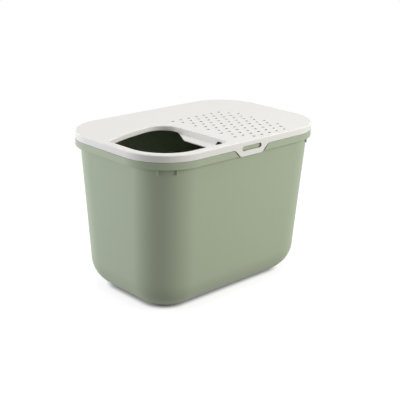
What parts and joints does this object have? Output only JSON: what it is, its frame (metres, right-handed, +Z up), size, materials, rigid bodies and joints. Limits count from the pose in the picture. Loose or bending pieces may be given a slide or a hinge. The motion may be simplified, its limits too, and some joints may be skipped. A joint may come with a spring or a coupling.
{
  "type": "top entry litter box",
  "caption": "Deep tub with a lift-off lid that has a corner entrance, a scoop ledge, a field of draining holes and two slotted latch tabs.",
  "frame": {"origin": "centre of the footprint, on the surface the box stands on", "axes": "+X along the length towards the end with the draining holes, +Y across the width away from the entrance corner, +Z up"},
  "size_m": [0.585, 0.39, 0.41],
  "materials": {
    "green_plastic": "satin moulded polypropylene, sage green",
    "white_plastic": "satin moulded polypropylene, warm white"
  },
  "bodies": {
    "tub": {"tub": "green_plastic"},
    "lid": {"lid": "white_plastic"}
  },
  "joints": [
    {"name": "lid_lift", "type": "slide", "parent": "tub", "child": "lid", "axis": [0, 0, 1], "range_m": [0, 0.15]}
  ]
}
